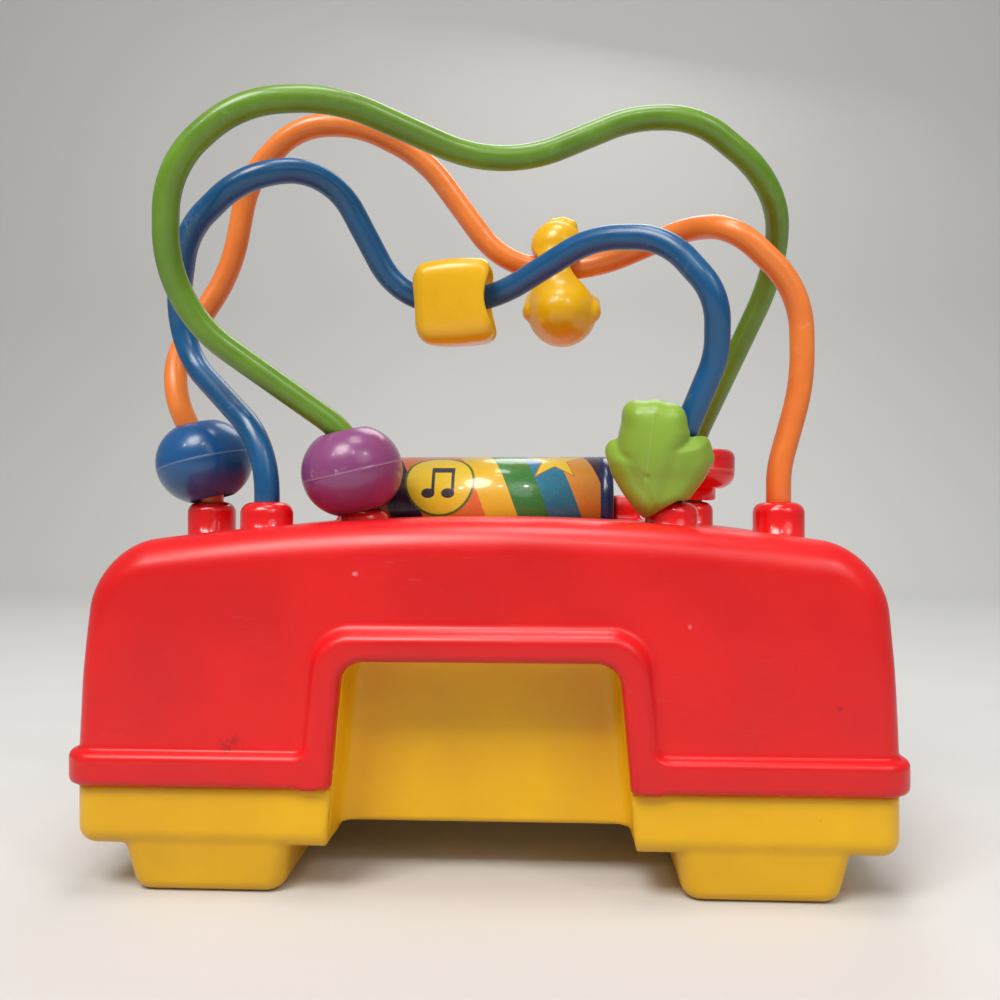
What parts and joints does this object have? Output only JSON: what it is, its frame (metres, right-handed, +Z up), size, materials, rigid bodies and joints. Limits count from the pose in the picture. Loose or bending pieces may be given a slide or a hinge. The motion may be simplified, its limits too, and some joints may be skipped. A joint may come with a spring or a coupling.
{
  "type": "musical bead maze",
  "caption": "Musical bead maze: arched plastic base on moulded feet, bent coated wires with captured sliding beads and a printed roller in the top that spins to play a melody.",
  "frame": {"origin": "on the floor under the middle of the base", "axes": "+Z up, +X along the width to the viewer's right, front towards -Y"},
  "size_m": [0.27, 0.15, 0.2779],
  "materials": {
    "red_plastic": "satin moulded plastic",
    "yellow_plastic": "satin moulded plastic",
    "green_coating": "satin plastic coating on steel wire",
    "blue_coating": "satin plastic coating on steel wire",
    "orange_coating": "satin plastic coating on steel wire",
    "blue_bead": "moulded plastic",
    "purple_bead": "moulded plastic",
    "yellow_bead": "moulded plastic",
    "green_bead": "moulded plastic",
    "red_bead": "moulded plastic",
    "navy_plastic": "moulded plastic",
    "printed_label": "printed film",
    "steel": "plain steel",
    "board_green": "circuit board",
    "black_plastic": "moulded plastic"
  },
  "bodies": {
    "base": {"top_housing": "red_plastic", "bottom_housing": "yellow_plastic", "green_wire": "green_coating", "blue_wire": "blue_coating", "orange_wire": "orange_coating", "green_left_socket": "red_plastic", "green_right_socket": "red_plastic", "blue_left_socket": "red_plastic", "blue_right_socket": "red_plastic", "orange_left_socket": "red_plastic", "orange_right_socket": "red_plastic", "wire_retainers": "steel", "roller_axle": "steel", "leaf_contact": "steel", "circuit_board": "board_green", "sound_chip": "black_plastic", "board_screws": "steel", "speaker": "black_plastic", "battery_door": "yellow_plastic", "battery_door_screw": "steel", "batteries": "steel", "battery_contacts": "steel", "housing_screws": "steel"},
    "roller": {"roller_tube": "navy_plastic", "roller_label": "printed_label", "roller_left_cap": "navy_plastic", "roller_right_cap": "navy_plastic", "roller_cam": "navy_plastic"},
    "blue_ball": {"blue_ball": "blue_bead"},
    "purple_ball": {"purple_ball": "purple_bead"},
    "yellow_cube": {"yellow_cube": "yellow_bead"},
    "yellow_duck": {"yellow_duck": "yellow_bead"},
    "green_frog": {"green_frog": "green_bead"},
    "red_saucer": {"red_saucer": "red_bead"}
  },
  "joints": [
    {"name": "roller_spin", "type": "hinge", "parent": "base", "child": "roller", "pos_m": [0, 0, 0.1256], "axis": [1, 0, 0], "continuous": true},
    {"name": "purple_ball_travel", "type": "hinge", "parent": "base", "child": "purple_ball", "pos_m": [-0.0778, -0.0446, 0.1278], "axis": [0.3249, -0.9457, 0], "range_deg": [0, 32]},
    {"name": "blue_ball_travel", "type": "hinge", "parent": "base", "child": "blue_ball", "pos_m": [-0.2761, 0.0525, 0.0755], "axis": [-0.3198, -0.9425, -0.0969], "range_deg": [0, 6]},
    {"name": "yellow_cube_travel", "type": "hinge", "parent": "base", "child": "yellow_cube", "pos_m": [-0.0161, -0.0574, 0.2381], "axis": [-0.021, -0.7089, -0.7049], "range_deg": [-2, 40]},
    {"name": "yellow_duck_travel", "type": "hinge", "parent": "base", "child": "yellow_duck", "pos_m": [0.0223, -0.0426, 0.2555], "axis": [-0.065, -0.57, -0.819], "range_deg": [-2, 40]},
    {"name": "green_frog_travel", "type": "hinge", "parent": "base", "child": "green_frog", "pos_m": [0.1821, -0.1169, 0.0923], "axis": [0.541, 0.841, 0], "range_deg": [0, 9]},
    {"name": "red_saucer_travel", "type": "hinge", "parent": "base", "child": "red_saucer", "pos_m": [0.1092, 0.0136, 0.1389], "axis": [0.7892, 0.6141, 0], "range_deg": [0, 32]}
  ]
}
